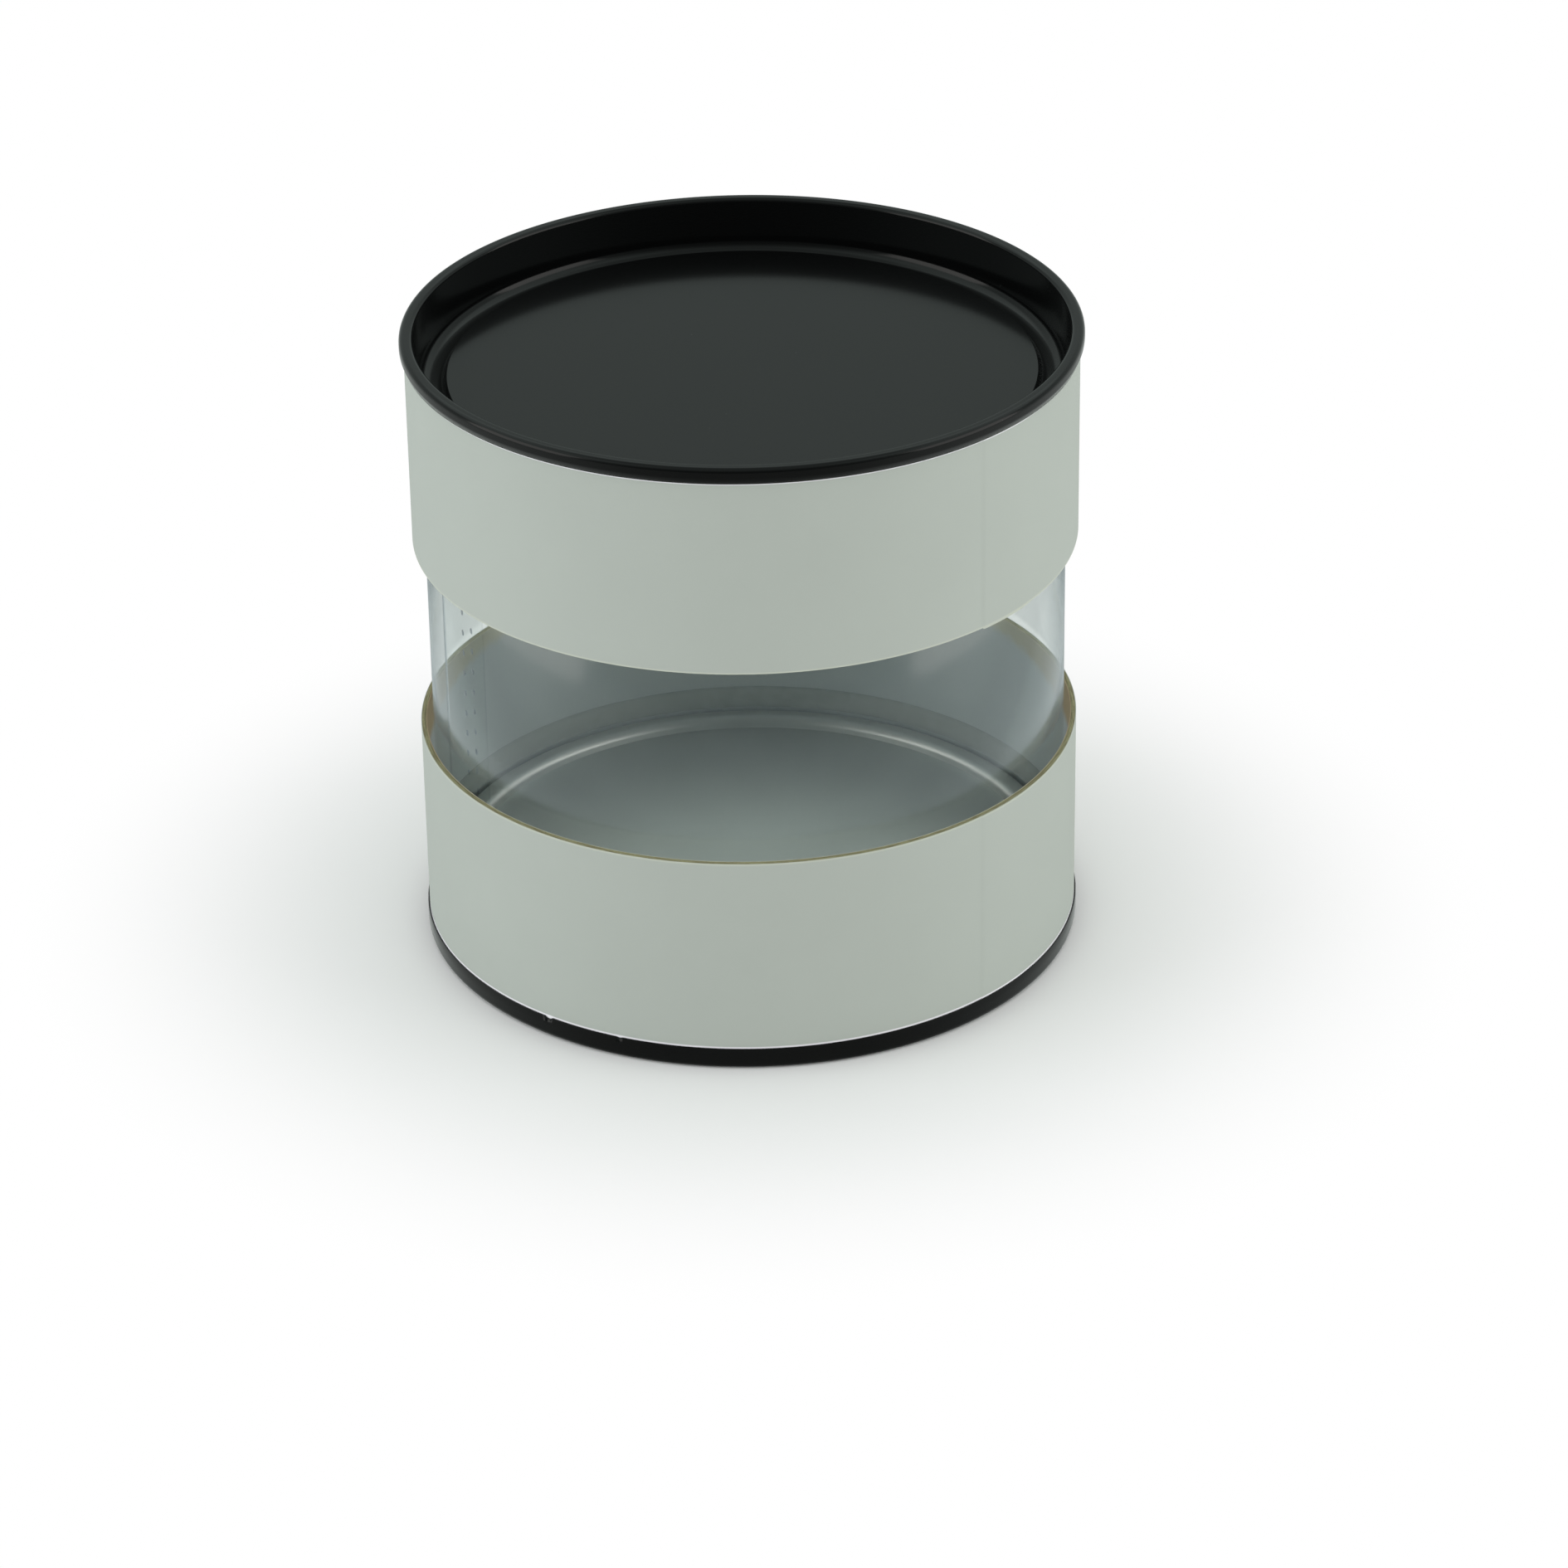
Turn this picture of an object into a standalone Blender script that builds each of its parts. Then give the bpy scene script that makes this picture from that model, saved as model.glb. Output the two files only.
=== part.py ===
"""A round cardboard tube box with a clear middle and a lift-off lid.

Base and lid are the same kind of piece: a paper-covered board tube with a
recessed metal end crimped over one of its edges. A rolled clear sheet stands in
the base, and the lid slips down over its upper part. Metres, +Z up, with the
origin at the centre of the ring that the box stands on.
"""

import math
from typing import NamedTuple

import bmesh
import bpy

# Driving sizes of the whole box
TUBE_RADIUS = 0.050
BASE_DEPTH = 0.0345
VISIBLE_WINDOW_HEIGHT = 0.03095
LID_DEPTH = 0.03255

# Layers of the tube wall, from the outside in
WRAP_THICKNESS = 0.00012
BOARD_THICKNESS = 0.00060
LINER_THICKNESS = 0.00010
PLY_CLEARANCE = 0.00003

# Pressed metal end: the round groove inside the chuck wall, and how far it drops below the panel
METAL_THICKNESS = 0.00022
GROOVE_INSET = 0.0021
GROOVE_WIDTH = 0.00355
GROOVE_OUTER_FILLET = 0.0019
GROOVE_INNER_FILLET = 0.0012
GROOVE_DROP = 0.00165
PANEL_STEP_WIDTH = 0.00045

# Seam that grips the end of each tube
BASE_SEAM_HEIGHT = 0.0034
BASE_SEAM_BULGE = 0.00003
BASE_CHUCK_CLEARANCE = 0.00060
BASE_SEAM_INNER_FILLET = 0.00045
BASE_SEAM_OUTER_FILLET = 0.0010
BASE_PANEL_DEPTH = 0.00765
LID_SEAM_HEIGHT = 0.0025
LID_SEAM_BULGE = 0.0004
LID_CHUCK_CLEARANCE = 0.00025
LID_SEAM_INNER_FILLET = 0.00070
LID_SEAM_OUTER_FILLET = 0.00080
LID_PANEL_DEPTH = 0.00675
BULGE_HEIGHT_SHARE = 0.62
TUBE_INSET = 0.0013
COMPOUND_CLEARANCE = 0.00005

# Rolled clear sheet
WINDOW_CLEARANCE = 0.00102
SHEET_THICKNESS = 0.0003
LAP_CLEARANCE = 0.00005
SEAT_CLEARANCE = 0.00005
LID_REST_CLEARANCE = 0.0003
LAP_ANGLE = math.radians(202)
LAP_STEPS = 3

# Adhesive band that holds the sheet in the base
GLUE_HEIGHT = 0.0033
GLUE_FOOT_MARGIN = 0.0004

# Every round piece has its corners at the same angles, so that close layers nest
SIDES = 64
FILLET_STEPS = 3

# Radii of the wall's layers and of the sheet, whose lap lies inside its round
WRAP_INNER_RADIUS = TUBE_RADIUS - WRAP_THICKNESS
BOARD_OUTER_RADIUS = WRAP_INNER_RADIUS - PLY_CLEARANCE
BOARD_INNER_RADIUS = BOARD_OUTER_RADIUS - BOARD_THICKNESS
LINER_OUTER_RADIUS = BOARD_INNER_RADIUS - PLY_CLEARANCE
LINER_INNER_RADIUS = LINER_OUTER_RADIUS - LINER_THICKNESS
WINDOW_RADIUS = LINER_INNER_RADIUS - WINDOW_CLEARANCE
LAP_RADIUS = WINDOW_RADIUS - SHEET_THICKNESS - LAP_CLEARANCE
TIGHTEST_RADIUS = LAP_RADIUS - SHEET_THICKNESS - SEAT_CLEARANCE

# Radii of the metal end's rings
GROOVE_OUTER_RADIUS = TUBE_RADIUS - GROOVE_INSET
GROOVE_INNER_RADIUS = GROOVE_OUTER_RADIUS - GROOVE_WIDTH
PANEL_RADIUS = GROOVE_INNER_RADIUS - PANEL_STEP_WIDTH
HEM_RADIUS = TUBE_RADIUS + PLY_CLEARANCE + METAL_THICKNESS

BOX_HEIGHT = BASE_DEPTH + VISIBLE_WINDOW_HEIGHT + LID_DEPTH


class Seam(NamedTuple):
    """The crimped edge of a metal end. Its chuck wall is the steep wall inside the tube."""

    height: float
    radius: float
    chuck_radius: float
    panel_depth: float
    inner_fillet: float
    outer_fillet: float


BASE_SEAM = Seam(
    height=BASE_SEAM_HEIGHT,
    radius=HEM_RADIUS + BASE_SEAM_BULGE,
    chuck_radius=LINER_INNER_RADIUS - BASE_CHUCK_CLEARANCE - METAL_THICKNESS,
    panel_depth=BASE_PANEL_DEPTH,
    inner_fillet=BASE_SEAM_INNER_FILLET,
    outer_fillet=BASE_SEAM_OUTER_FILLET,
)
LID_SEAM = Seam(
    height=LID_SEAM_HEIGHT,
    radius=HEM_RADIUS + LID_SEAM_BULGE,
    chuck_radius=LINER_INNER_RADIUS - LID_CHUCK_CLEARANCE - METAL_THICKNESS,
    panel_depth=LID_PANEL_DEPTH,
    inner_fillet=LID_SEAM_INNER_FILLET,
    outer_fillet=LID_SEAM_OUTER_FILLET,
)


def clear_scene():
    for item in list(bpy.data.objects):
        bpy.data.objects.remove(item, do_unlink=True)


def new_collection(name):
    group = bpy.data.collections.new(name)
    bpy.context.scene.collection.children.link(group)
    return group


def finish(name, color, roughness, metallic=0.0, alpha=1.0):
    """A plain Principled material."""
    material = bpy.data.materials.new(name)
    material.use_nodes = True
    shader = material.node_tree.nodes["Principled BSDF"]
    shader.inputs["Base Color"].default_value = (*color, 1.0)
    shader.inputs["Roughness"].default_value = roughness
    shader.inputs["Metallic"].default_value = metallic
    shader.inputs["Alpha"].default_value = alpha
    return material


def all_finishes():
    return {
        "metal_end": finish("black_lacquered_metal", (0.012, 0.013, 0.013), 0.25, metallic=0.4),
        "sealing_ring": finish("grey_compound", (0.20, 0.20, 0.19), 0.7),
        "paper_wrap": finish("pale_paper", (0.42, 0.47, 0.42), 0.75),
        "board_tube": finish("brown_board", (0.28, 0.20, 0.11), 0.9),
        "paper_liner": finish("grey_paper", (0.14, 0.14, 0.12), 0.8),
        "window_sheet": finish("clear_sheet", (0.9, 0.93, 0.92), 0.08, alpha=0.25),
        "window_glue_band": finish("clear_adhesive", (0.75, 0.76, 0.72), 0.4, alpha=0.5),
    }


def holder_at(name, height, turned_over, group):
    """An empty on the box's axis. The lid's is turned over, so both halves are built foot down."""
    holder = bpy.data.objects.new(name, None)
    holder.location = (0, 0, height)
    holder.rotation_euler = (math.pi if turned_over else 0, 0, 0)
    group.objects.link(holder)
    return holder


def place(name, mesh, material, holder, group):
    """Puts a mesh in the scene under its holder."""
    mesh.materials.append(material)
    piece = bpy.data.objects.new(name, mesh)
    group.objects.link(piece)
    piece.parent = holder
    return piece


def turned(name, outline, closed, material, holder, group):
    """Turns an outline of (radius, height) points, outer side first, round the Z axis."""
    mesh = bpy.data.meshes.new(name)
    shape = bmesh.new()
    points = [shape.verts.new((radius, 0, height)) for radius, height in outline]
    for first, second in zip(points, points[1:]):
        shape.edges.new((first, second))
    if closed:
        shape.edges.new((points[-1], points[0]))
    shape.to_mesh(mesh)
    shape.free()
    piece = place(name, mesh, material, holder, group)
    screw = piece.modifiers.new("turn", "SCREW")
    screw.axis = "Z"
    screw.steps = SIDES
    screw.render_steps = SIDES
    screw.use_merge_vertices = True
    screw.merge_threshold = PLY_CLEARANCE / SIDES
    piece.modifiers.new("even shading", "WEIGHTED_NORMAL")
    return piece


def pipe_outline(outer, inner, bottom, top):
    """The section of a plain tube."""
    return [(outer, top), (outer, bottom), (inner, bottom), (inner, top)]


def rounded(corners):
    """A line through (radius, height, fillet) corners, each fillet drawn as a short arc."""
    line = []
    for index, (radius, height, fillet) in enumerate(corners):
        if not fillet:
            line.append((radius, height))
            continue
        before, after = corners[index - 1], corners[index + 1]
        start = math.atan2(before[1] - height, before[0] - radius)
        end = math.atan2(after[1] - height, after[0] - radius)
        opening = (end - start + math.pi) % (2 * math.pi) - math.pi
        middle = start + opening / 2
        reach = fillet / math.sin(abs(opening) / 2)
        centre = (radius + reach * math.cos(middle), height + reach * math.sin(middle))
        sweep = math.copysign(math.pi - abs(opening), opening)
        for step in range(FILLET_STEPS + 1):
            angle = middle + math.pi + sweep * (0.5 - step / FILLET_STEPS)
            line.append((centre[0] + fillet * math.cos(angle), centre[1] + fillet * math.sin(angle)))
    return line


def offset(line, distance):
    """The same line moved to its left, by the same distance along all of it."""
    runs = [math.atan2(b[1] - a[1], b[0] - a[0]) for a, b in zip(line, line[1:])]
    moved = []
    for (radius, height), first, last in zip(line, runs[:1] + runs, runs + runs[-1:]):
        turn = (last - first + math.pi) % (2 * math.pi) - math.pi
        normal = first + turn / 2 + math.pi / 2
        reach = distance / math.cos(turn / 2)
        moved.append((radius + reach * math.cos(normal), height + reach * math.sin(normal)))
    return moved


def end_face(seam):
    """Section of a metal end's outer face, from the axis over the groove and round the seam."""
    groove_depth = seam.panel_depth + GROOVE_DROP
    return rounded([
        (0, seam.panel_depth, 0),
        (PANEL_RADIUS, seam.panel_depth, 0),
        (GROOVE_INNER_RADIUS, groove_depth, GROOVE_INNER_FILLET),
        (GROOVE_OUTER_RADIUS, groove_depth, GROOVE_OUTER_FILLET),
        (seam.chuck_radius, 0, seam.inner_fillet),
        (seam.radius, 0, seam.outer_fillet),
        (seam.radius, seam.height * BULGE_HEIGHT_SHARE, 0),
        (HEM_RADIUS, seam.height, 0),
    ])


def metal_end(name, seam, material, holder, group):
    """The recessed end: one metal sheet, pressed into rings and curled over the tube's edge."""
    face = end_face(seam)
    back = offset(face, METAL_THICKNESS)
    turned(name, back + face[::-1], False, material, holder, group)


def sealing_ring(name, seam, material, holder, group):
    """The soft compound that fills the curl below the tube's edge."""
    inset = METAL_THICKNESS + COMPOUND_CLEARANCE
    top = TUBE_INSET - COMPOUND_CLEARANCE
    inner, outer = seam.chuck_radius + inset, seam.radius - inset
    outline = rounded([
        (outer, top, 0),
        (outer, inset, seam.outer_fillet - inset),
        (inner, inset, seam.inner_fillet - inset),
        (inner, top, 0),
    ])
    turned(name, outline, True, material, holder, group)


def tube_half(prefix, seam, depth, finishes, holder, group):
    """The five pieces of the base, or of the lid, measured from the plane of its seam."""
    metal_end(f"{prefix}_metal_end", seam, finishes["metal_end"], holder, group)
    sealing_ring(f"{prefix}_sealing_ring", seam, finishes["sealing_ring"], holder, group)
    layers = {
        "paper_wrap": (TUBE_RADIUS, WRAP_INNER_RADIUS),
        "board_tube": (BOARD_OUTER_RADIUS, BOARD_INNER_RADIUS),
        "paper_liner": (LINER_OUTER_RADIUS, LINER_INNER_RADIUS),
    }
    for layer, (outer, inner) in layers.items():
        outline = pipe_outline(outer, inner, TUBE_INSET, depth)
        turned(f"{prefix}_{layer}", outline, True, finishes[layer], holder, group)


def seat_height(seam):
    """Height above the seam's plane where the sheet's innermost edge meets the groove's back."""
    back = offset(end_face(seam), METAL_THICKNESS)
    for (inner, inner_height), (outer, outer_height) in zip(back, back[1:]):
        if inner < TIGHTEST_RADIUS <= outer:
            share = (TIGHTEST_RADIUS - inner) / (outer - inner)
            return inner_height + share * (outer_height - inner_height)
    raise ValueError("the sheet is wider than the metal end")


def sheet_plan():
    """Plan of the sheet's outer face, from its end over the lap back to its end under it."""
    turn = 2 * math.pi / SIDES
    start = round(LAP_ANGLE / turn)
    plan = []
    for index in reversed(range(SIDES + LAP_STEPS + 1)):
        angle = (start + index) * turn
        radius = WINDOW_RADIUS if index > LAP_STEPS else LAP_RADIUS
        plan.append((radius * math.cos(angle), radius * math.sin(angle)))
    return plan


def window_sheet(bottom, top, material, holder, group):
    """The clear sheet, rolled into a cylinder whose ends lap."""
    mesh = bpy.data.meshes.new("window_sheet")
    shape = bmesh.new()
    points = [shape.verts.new((x, y, bottom)) for x, y in sheet_plan()]
    edges = [shape.edges.new(pair) for pair in zip(points, points[1:])]
    raised = bmesh.ops.extrude_edge_only(shape, edges=edges)["geom"]
    top_points = [item for item in raised if isinstance(item, bmesh.types.BMVert)]
    bmesh.ops.translate(shape, vec=(0, 0, top - bottom), verts=top_points)
    shape.to_mesh(mesh)
    shape.free()
    sheet = place("window_sheet", mesh, material, holder, group)
    wall = sheet.modifiers.new("thickness", "SOLIDIFY")
    wall.thickness = SHEET_THICKNESS
    wall.offset = -1
    wall.use_even_offset = True


def window_glue_band(bottom, material, holder, group):
    """The ring of adhesive between the sheet's foot and the base's liner."""
    outer = LINER_INNER_RADIUS - PLY_CLEARANCE
    inner = WINDOW_RADIUS + PLY_CLEARANCE
    outline = pipe_outline(outer, inner, bottom, bottom + GLUE_HEIGHT)
    turned("window_glue_band", outline, True, material, holder, group)


def main():
    clear_scene()
    group = new_collection("windowed_tube_box")
    finishes = all_finishes()
    base = holder_at("base_axis", 0, False, group)
    lid = holder_at("lid_axis", BOX_HEIGHT, True, group)
    tube_half("base", BASE_SEAM, BASE_DEPTH, finishes, base, group)
    tube_half("lid", LID_SEAM, LID_DEPTH, finishes, lid, group)
    foot = seat_height(BASE_SEAM)
    head = BOX_HEIGHT - seat_height(LID_SEAM) - LID_REST_CLEARANCE
    window_sheet(foot, head, finishes["window_sheet"], base, group)
    window_glue_band(foot + GLUE_FOOT_MARGIN, finishes["window_glue_band"], base, group)


main()
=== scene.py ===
"""Looks of a round cardboard tube box with a clear middle and a lift-off lid.

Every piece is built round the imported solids: turned metal ends, papered board
walls, a rolled clear sheet with a welded lap, and the stage they stand on.
Metres, +Z up. The front of the box faces -Y.
"""

import math
import random
from typing import NamedTuple

import bmesh
import bpy
from mathutils import Matrix, Quaternion, Vector


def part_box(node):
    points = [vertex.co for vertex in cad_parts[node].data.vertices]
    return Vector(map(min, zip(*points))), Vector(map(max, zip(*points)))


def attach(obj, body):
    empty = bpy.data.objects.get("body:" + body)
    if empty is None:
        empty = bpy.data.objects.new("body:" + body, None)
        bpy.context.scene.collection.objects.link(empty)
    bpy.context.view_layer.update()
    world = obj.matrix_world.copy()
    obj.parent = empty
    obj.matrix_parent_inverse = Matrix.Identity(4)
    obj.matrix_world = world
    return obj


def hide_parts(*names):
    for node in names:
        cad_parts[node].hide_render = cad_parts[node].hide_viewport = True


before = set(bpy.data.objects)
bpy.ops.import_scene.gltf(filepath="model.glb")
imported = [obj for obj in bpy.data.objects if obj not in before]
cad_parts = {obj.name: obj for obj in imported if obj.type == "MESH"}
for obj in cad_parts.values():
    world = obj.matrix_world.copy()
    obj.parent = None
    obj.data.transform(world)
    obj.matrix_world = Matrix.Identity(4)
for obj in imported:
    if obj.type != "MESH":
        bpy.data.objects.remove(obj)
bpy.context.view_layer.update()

bl_info = {
    "name": "Windowed Tube Box",
    "version": (1, 0, 0),
    "blender": (4, 5, 0),
    "location": "View3D > Sidebar > Tube Box",
    "description": "Dresses a round paper-covered tube box with metal ends and a clear middle",
    "category": "Object",
}

# How finely round shapes are cut
TURN_STEPS = 360
FILLET_STEPS = 6
CUT_EDGE_STEPS = 2
DRAW_STEPS = 8
SPOT_SEGMENTS = 12
SPOT_RINGS = 8
FIBRE_SIDES = 5
FLOOR_SIDES = 96
SHARP_ANGLE = math.radians(42)
SAME_POINT = 1e-6
AXIS_UP = (0, 0, 1)


def outer_radius(node):
    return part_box(node)[1].x


def lowest(node):
    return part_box(node)[0].z


def highest(node):
    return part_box(node)[1].z


def seen(red, green, blue):
    """Scene-linear colour of a screen colour given from 0 to 255."""
    shares = [level / 255 for level in (red, green, blue)]
    return [s / 12.92 if s <= 0.04045 else ((s + 0.055) / 1.055) ** 2.4 for s in shares]


def length(name, description, default):
    return bpy.props.FloatProperty(
        name=name, description=description, default=default, unit="LENGTH", precision=5)


def angle(name, description, degrees):
    return bpy.props.FloatProperty(
        name=name, description=description, default=math.radians(degrees), subtype="ANGLE")


def colour(name, description, default):
    return bpy.props.FloatVectorProperty(
        name=name, description=description, default=default, subtype="COLOR", min=0, max=1)


class TubeBoxSizes(bpy.types.PropertyGroup):
    """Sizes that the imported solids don't give by their boxes."""

    metal: length("Metal", "Thickness of the end's sheet", 0.00022)
    groove_inset: length("Groove Inset", "From the tube's outside to the groove", 0.0021)
    groove_width: length("Groove Width", "From the groove's outer to its inner side", 0.00355)
    groove_drop: length("Groove Drop", "Groove below the panel", 0.00165)
    groove_outer_fillet: length("Groove Outer Fillet", "Rounding by the recess's wall", 0.0019)
    groove_inner_fillet: length("Groove Inner Fillet", "Rounding by the panel", 0.0012)
    panel_step: length("Panel Step", "Width of the slope from groove to panel", 0.00045)
    panel_fillet: length("Panel Fillet", "Rounding of the panel's edge", 0.0002)
    base_panel: length("Base Panel", "Base's panel, from the plane of its seam", 0.00765)
    lid_panel: length("Lid Panel", "Lid's panel, from the plane of its seam", 0.00675)
    base_seam: length("Base Seam", "Height of the foot's crimp", 0.0034)
    base_chuck_inset: length("Base Recess Inset", "From the tube's outside to the recess", 0.0017)
    base_inner_fillet: length("Base Inner Fillet", "Rounding inside the foot's crimp", 0.00045)
    base_outer_fillet: length("Base Outer Fillet", "Rounding outside the foot's crimp", 0.0010)
    lid_seam: length("Lid Seam", "Height of the lid's curl", 0.0025)
    lid_chuck_inset: length("Lid Recess Inset", "From the tube's outside to the recess", 0.00135)
    lid_inner_fillet: length("Lid Inner Fillet", "Rounding inside the lid's curl", 0.00070)
    lid_outer_fillet: length("Lid Outer Fillet", "Rounding outside the lid's curl", 0.00080)
    bulge_fillet: length("Bulge Fillet", "Rounding of the crimp's widest line", 0.0006)
    ply_gap: length("Ply Gap", "Gap between glued or crimped layers", 0.00003)
    cut_bevel: length("Cut Bevel", "Softened corner of cut board and paper", 0.00003)
    lap_width: length("Paper Lap Width", "Width of the covers' glued lap", 0.009)
    lap_rise: length("Paper Lap Rise", "Rise of the lap's upper layer", 0.00007)
    lap_drop: length("Paper Lap Drop", "How far the lap's end hangs below the lid's edge", 0.00022)
    lap_place: angle("Paper Lap Place", "Place of the covers' lap, from the front", 43.0)
    sheet: length("Sheet", "Thickness of the clear sheet", 0.0003)
    sheet_gap: length("Sheet Gap", "Gap between the sheet's lapped layers", 0.00005)
    sheet_inner_end: angle("Sheet Inner End", "Inner end of the sheet, from the front", -54.5)
    sheet_outer_end: angle("Sheet Outer End", "Outer end of the sheet, from the front", -69.5)
    weld_pitch: length("Weld Pitch", "Height between weld spots", 0.00333)
    weld_spread: length("Weld Spread", "Distance between the two columns of spots", 0.0026)
    weld_width: length("Weld Width", "Width of a weld spot", 0.0007)
    weld_height: length("Weld Height", "Height of a weld spot", 0.0010)
    weld_rise: length("Weld Rise", "How far a weld spot stands proud", 0.00004)
    weld_place: angle("Weld Place", "Middle of the weld's columns, from the front", -58.9)


class TubeBoxColours(bpy.types.PropertyGroup):
    """Colours of the finishes."""

    lacquer: colour("Lacquer", "Outside of the metal ends", seen(7, 8, 8))
    inner_lacquer: colour("Inner Lacquer", "Inside of the metal ends", seen(228, 229, 227))
    paper: colour("Paper", "Pale paper cover", seen(171, 178, 171))
    # Painted highlights: the paler colours along the paper's cut edge and its edge at the crimp
    cut_edge_highlight: colour("Paper Core", "Cut edge of the cover", seen(208, 211, 190))
    crimp_edge_highlight: colour("Paper Rim", "Edge of the cover at the crimp", seen(236, 236, 240))
    board: colour("Board", "Brown rolled board", seen(152, 153, 118))
    board_ply: colour("Board Ply", "Darker plies of the board", seen(116, 112, 84))
    board_bare: colour("Bare Board", "Board that shows where the lining is rubbed off", seen(176, 159, 129))
    lining_rubbed: colour("Rubbed Lining", "Lining that is rubbed thin at its edge", seen(186, 186, 164))
    lining: colour("Lining", "Grey paper inside", seen(183, 189, 189))
    sheet_tint: colour("Sheet Tint", "What a face of the sheet lets through", (0.975, 0.985, 0.98))
    weld_tint: colour("Weld Tint", "What a face of a weld spot lets through", (0.92, 0.94, 0.97))
    adhesive: colour("Adhesive", "Clear adhesive", seen(190, 192, 184))
    compound: colour("Compound", "Sealing compound", seen(120, 120, 116))


def sizes():
    return bpy.context.scene.tube_box_sizes


def colours():
    return bpy.context.scene.tube_box_colours


class Value:
    """A socket of a material's nodes. Sums and products of values add Math nodes."""

    def __init__(self, finish, socket):
        self.finish = finish
        self.socket = socket

    def maths(self, operation, *values):
        return self.finish.node("ShaderNodeMath", {"operation": operation}, dict(enumerate(values)))

    def __add__(self, other):
        return self.maths("ADD", self, other)

    def __sub__(self, other):
        return self.maths("SUBTRACT", self, other)

    def __rsub__(self, other):
        return self.maths("SUBTRACT", other, self)

    def __mul__(self, other):
        return self.maths("MULTIPLY", self, other)

    def __pow__(self, other):
        return self.maths("POWER", self, other)

    __radd__ = __add__
    __rmul__ = __mul__

    def part(self, name):
        """Another output of the same node."""
        return Value(self.finish, self.socket.node.outputs[name])


class Finish:
    """The nodes of a material or a world, while they are laid out."""

    def __init__(self, owner):
        owner.use_nodes = True
        self.owner = owner
        self.tree = owner.node_tree
        self.tree.nodes.clear()

    def node(self, kind, settings, inputs, output=0):
        made = self.tree.nodes.new(kind)
        for name, setting in settings.items():
            setattr(made, name, setting)
        for name, value in inputs.items():
            if isinstance(value, Value):
                self.tree.links.new(value.socket, made.inputs[name])
            else:
                made.inputs[name].default_value = value
        return Value(self, made.outputs[output])

    def place(self):
        """The point on the object, in metres from its origin."""
        return self.node("ShaderNodeTexCoord", {}, {}, "Object")

    def polar(self):
        """The point's angle from the front towards +X, its radius and its height."""
        x = self.node("ShaderNodeSeparateXYZ", {}, {"Vector": self.place()})
        y, z = x.part("Y"), x.part("Z")
        return x.maths("ARCTAN2", x, 0 - y), (x * x + y * y) ** 0.5, z

    def vector(self, x, y, z):
        return self.node("ShaderNodeCombineXYZ", {}, {"X": x, "Y": y, "Z": z})

    def cloud(self, feature, place=None, detail=2.0):
        """Noise from 0 to 1 with features that many metres across."""
        return self.node(
            "ShaderNodeTexNoise", {},
            {"Vector": place or self.place(), "Scale": 1 / feature, "Detail": detail})

    def specks(self, pitch, size, share):
        """1 on small specks, one in each cell of that pitch for that share of the cells."""
        cell = self.node(
            "ShaderNodeTexVoronoi", {}, {"Vector": self.place(), "Scale": 1 / pitch}, "Distance")
        lot = self.node("ShaderNodeSeparateColor", {}, {"Color": cell.part("Color")})
        near = self.step(cell, size / pitch, 0)
        return near * lot.maths("LESS_THAN", lot, share)

    def step(self, value, start, end):
        """A smooth step from 0 at start to 1 at end, for either order of the two."""
        low, high, at_low, at_high = (start, end, 0, 1) if start < end else (end, start, 1, 0)
        return self.node(
            "ShaderNodeMapRange", {"interpolation_type": "SMOOTHSTEP"},
            {"Value": value, "From Min": low, "From Max": high, "To Min": at_low, "To Max": at_high})

    def mixed(self, share, first, second):
        """A colour between two colours."""
        first, second = (c if isinstance(c, Value) else (*c, 1) for c in (first, second))
        return self.node("ShaderNodeMix", {"data_type": "RGBA"}, {0: share, 6: first, 7: second}, 2)

    def direct_view(self):
        """1 where the camera looks straight at the surface, with no clear face before it."""
        path = self.node("ShaderNodeLightPath", {}, {}, "Is Camera Ray")
        return path * path.maths("LESS_THAN", path.part("Transparent Depth"), 0.5)

    def reflection(self):
        """1 where the surface is seen in a mirroring one, and 0 where it only lights a matt one."""
        path = self.node("ShaderNodeLightPath", {}, {}, "Is Glossy Ray")
        return path * path.maths("LESS_THAN", path.part("Diffuse Depth"), 0.5)

    def bump(self, height, depth, strength):
        return self.node(
            "ShaderNodeBump", {}, {"Height": height, "Distance": depth, "Strength": strength})

    def principled(self, inputs):
        return self.node("ShaderNodeBsdfPrincipled", {}, inputs)

    def clear(self, tint):
        """A surface that only lets light of that colour through."""
        return self.node("ShaderNodeBsdfTransparent", {}, {"Color": (*tint, 1)})

    def glow(self, tone):
        """A surface that shows that colour in any light."""
        return self.node("ShaderNodeEmission", {}, {"Color": (*tone, 1), "Strength": 1.0})

    def mixed_shader(self, share, first, second):
        return self.node("ShaderNodeMixShader", {}, {0: share, 1: first, 2: second})

    def close(self, surface, output="ShaderNodeOutputMaterial"):
        """Ends the tree in that surface, and gives back what it belongs to."""
        end = self.tree.nodes.new(output)
        self.tree.links.new(surface.socket, end.inputs["Surface"])
        return self.owner


def new_finish(name):
    return Finish(bpy.data.materials.new(name))


def darker(tone, share):
    return [share * level for level in tone]


def black_lacquer():
    """Semi-gloss black lacquer on pressed metal, with faint orange peel and a little dust."""
    finish = new_finish("black_lacquer")
    dust = finish.specks(pitch=0.0026, size=0.00007, share=0.25)
    shade = finish.cloud(feature=0.03)
    peel = finish.cloud(feature=0.0009)
    return finish.close(finish.principled({
        "Base Color": finish.mixed(dust * 0.5, colours().lacquer, colours().paper),
        "Roughness": 0.12 + shade * 0.04 + dust * 0.4,
        "IOR": 1.4,
        "Normal": finish.bump(peel, depth=0.000004, strength=0.25),
    }))


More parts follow.
